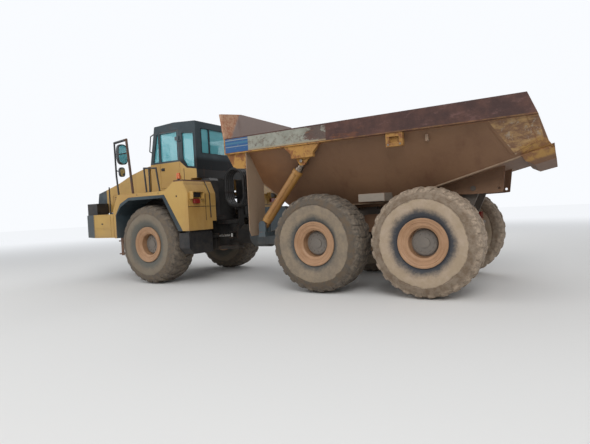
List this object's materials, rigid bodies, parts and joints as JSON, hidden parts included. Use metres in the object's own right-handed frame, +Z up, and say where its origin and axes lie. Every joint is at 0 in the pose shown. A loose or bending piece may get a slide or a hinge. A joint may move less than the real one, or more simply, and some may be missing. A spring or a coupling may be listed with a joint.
{
  "type": "articulated dump truck",
  "caption": "Articulated dump truck with a tipping bed, steered at a pivot between its front and rear frames, with a hollow cab and a tilting hood.",
  "frame": {"origin": "on the ground under the middle of the truck's outer size", "axes": "+X to the nose, +Y to the driver's left, +Z up"},
  "size_m": [10.94, 3.44, 3.8],
  "materials": {
    "yellow_paint": "dusty worn yellow",
    "slate_paint": "dusty dark slate",
    "bed_steel": "rusty and dusty",
    "rail_steel": "rusty with worn paint",
    "dark_parts": "matte black",
    "dark_metal": "dusty black",
    "hose_rubber": "matte",
    "lamp_red": "glossy red",
    "window_glass": "clear, dusty",
    "rod_chrome": "polished",
    "cylinder_paint": "grey",
    "tyre_rubber": "dusty",
    "rim_paint": "dusty yellow"
  },
  "bodies": {
    "rear_unit": {"rear_frame": "slate_paint", "frame_head": "slate_paint", "bogie_axles": "slate_paint", "bogie_beams": "bed_steel", "drive_shafts": "dark_metal", "tail_lamps": "lamp_red"},
    "hitch": {"hitch_block": "slate_paint", "hose_loops": "hose_rubber"},
    "front_unit": {"front_frame": "slate_paint", "front_axle": "slate_paint", "engine": "dark_metal", "bumper_nose": "slate_paint", "bumper_sides": "yellow_paint", "lamps": "dark_parts", "fenders": "yellow_paint", "arch_lips": "slate_paint", "rear_tanks": "dark_parts", "side_boxes": "dark_parts", "cab_tub": "yellow_paint", "cab_upper": "slate_paint", "cab_glass": "window_glass", "seat": "dark_parts", "steering_wheel": "dark_parts", "mirrors": "dark_parts", "handrails": "dark_metal", "steps": "rail_steel"},
    "hood": {"hood": "yellow_paint", "grille": "dark_parts"},
    "door": {"door": "slate_paint", "door_glass": "window_glass"},
    "bed": {"bed_floor": "bed_steel", "bed_sides": "bed_steel", "bed_front": "bed_steel", "bed_rails": "rail_steel", "spill_guard": "bed_steel", "bed_underframe": "bed_steel", "mudguards": "bed_steel"},
    "hoist_barrels": {"hoist_barrels": "yellow_paint"},
    "hoist_stage_a": {"hoist_stage_a": "rod_chrome"},
    "hoist_stage_b": {"hoist_stage_b": "rod_chrome"},
    "hoist_rods": {"hoist_rods": "rod_chrome"},
    "steer_barrel_left": {"steer_barrel_left": "cylinder_paint"},
    "steer_rod_left": {"steer_rod_left": "rod_chrome"},
    "steer_barrel_right": {"steer_barrel_right": "cylinder_paint"},
    "steer_rod_right": {"steer_rod_right": "rod_chrome"},
    "wheel_front_left": {"tyre_front_left": "tyre_rubber", "rim_front_left": "rim_paint"},
    "wheel_front_right": {"tyre_front_right": "tyre_rubber", "rim_front_right": "rim_paint"},
    "wheel_mid_left": {"tyre_mid_left": "tyre_rubber", "rim_mid_left": "rim_paint"},
    "wheel_mid_right": {"tyre_mid_right": "tyre_rubber", "rim_mid_right": "rim_paint"},
    "wheel_rear_left": {"tyre_rear_left": "tyre_rubber", "rim_rear_left": "rim_paint"},
    "wheel_rear_right": {"tyre_rear_right": "tyre_rubber", "rim_rear_right": "rim_paint"}
  },
  "joints": [
    {"name": "hitch_roll", "type": "hinge", "parent": "rear_unit", "child": "hitch", "pos_m": [0.6, 0, 1.03], "axis": [-1, 0, 0], "range_deg": [-15, 15]},
    {"name": "articulation", "type": "hinge", "parent": "hitch", "child": "front_unit", "pos_m": [1.46, 0, 1.03], "axis": [0, 0, 1], "range_deg": [-45, 45]},
    {"name": "hood_tilt", "type": "hinge", "parent": "front_unit", "child": "hood", "pos_m": [5.33, 0, 1.701], "axis": [0, 1, 0], "range_deg": [0, 60]},
    {"name": "door_swing", "type": "hinge", "parent": "front_unit", "child": "door", "pos_m": [2.326, 0.937, 2.8], "axis": [0, 0, 1], "range_deg": [0, 85]},
    {"name": "bed_tip", "type": "hinge", "parent": "rear_unit", "child": "bed", "pos_m": [-4.21, 0, 1.775], "axis": [0, -1, 0], "range_deg": [0, 70]},
    {"name": "hoist_swing", "type": "hinge", "parent": "rear_unit", "child": "hoist_barrels", "pos_m": [-0.44, 0, 1.29], "axis": [0, -1, 0], "range_deg": [0, 6]},
    {"name": "hoist_slide_a", "type": "slide", "parent": "hoist_barrels", "child": "hoist_stage_a", "axis": [-0.6415, 0, 0.7671], "range_m": [0, 1.0975]},
    {"name": "hoist_slide_b", "type": "slide", "parent": "hoist_stage_a", "child": "hoist_stage_b", "axis": [-0.6415, 0, 0.7671], "range_m": [0, 1.0975]},
    {"name": "hoist_slide_c", "type": "slide", "parent": "hoist_stage_b", "child": "hoist_rods", "axis": [-0.6415, 0, 0.7671], "range_m": [0, 1.0975]},
    {"name": "steer_swing_left", "type": "hinge", "parent": "front_unit", "child": "steer_barrel_left", "pos_m": [2.25, 0.64, 1.03], "axis": [0, 0, 1], "range_deg": [-3, 3]},
    {"name": "steer_slide_left", "type": "slide", "parent": "steer_barrel_left", "child": "steer_rod_left", "axis": [-0.9556, -0.2948, 0], "range_m": [-0.2695, 0.2695]},
    {"name": "steer_swing_right", "type": "hinge", "parent": "front_unit", "child": "steer_barrel_right", "pos_m": [2.25, -0.64, 1.03], "axis": [0, 0, 1], "range_deg": [-3, 3]},
    {"name": "steer_slide_right", "type": "slide", "parent": "steer_barrel_right", "child": "steer_rod_right", "axis": [-0.9556, 0.2948, 0], "range_m": [-0.2695, 0.2695]},
    {"name": "spin_front_left", "type": "hinge", "parent": "front_unit", "child": "wheel_front_left", "pos_m": [2.74, 1.345, 0.92], "axis": [0, 1, 0], "continuous": true},
    {"name": "spin_front_right", "type": "hinge", "parent": "front_unit", "child": "wheel_front_right", "pos_m": [2.74, -1.345, 0.92], "axis": [0, 1, 0], "continuous": true},
    {"name": "spin_mid_left", "type": "hinge", "parent": "rear_unit", "child": "wheel_mid_left", "pos_m": [-1.61, 1.345, 0.92], "axis": [0, 1, 0], "continuous": true},
    {"name": "spin_mid_right", "type": "hinge", "parent": "rear_unit", "child": "wheel_mid_right", "pos_m": [-1.61, -1.345, 0.92], "axis": [0, 1, 0], "continuous": true},
    {"name": "spin_rear_left", "type": "hinge", "parent": "rear_unit", "child": "wheel_rear_left", "pos_m": [-3.58, 1.345, 0.92], "axis": [0, 1, 0], "continuous": true},
    {"name": "spin_rear_right", "type": "hinge", "parent": "rear_unit", "child": "wheel_rear_right", "pos_m": [-3.58, -1.345, 0.92], "axis": [0, 1, 0], "continuous": true}
  ],
  "couplings": [
    {"joint": "hoist_swing", "follows": "bed_tip", "ratio": 0.08482},
    {"joint": "hoist_slide_a", "follows": "bed_tip", "m_per_rad": 0.89824},
    {"joint": "hoist_slide_b", "follows": "bed_tip", "m_per_rad": 0.89824},
    {"joint": "hoist_slide_c", "follows": "bed_tip", "m_per_rad": 0.89824},
    {"joint": "steer_swing_left", "follows": "articulation", "ratio": 0.003},
    {"joint": "steer_slide_left", "follows": "articulation", "m_per_rad": -0.343},
    {"joint": "steer_swing_right", "follows": "articulation", "ratio": 0.003},
    {"joint": "steer_slide_right", "follows": "articulation", "m_per_rad": 0.343}
  ]
}
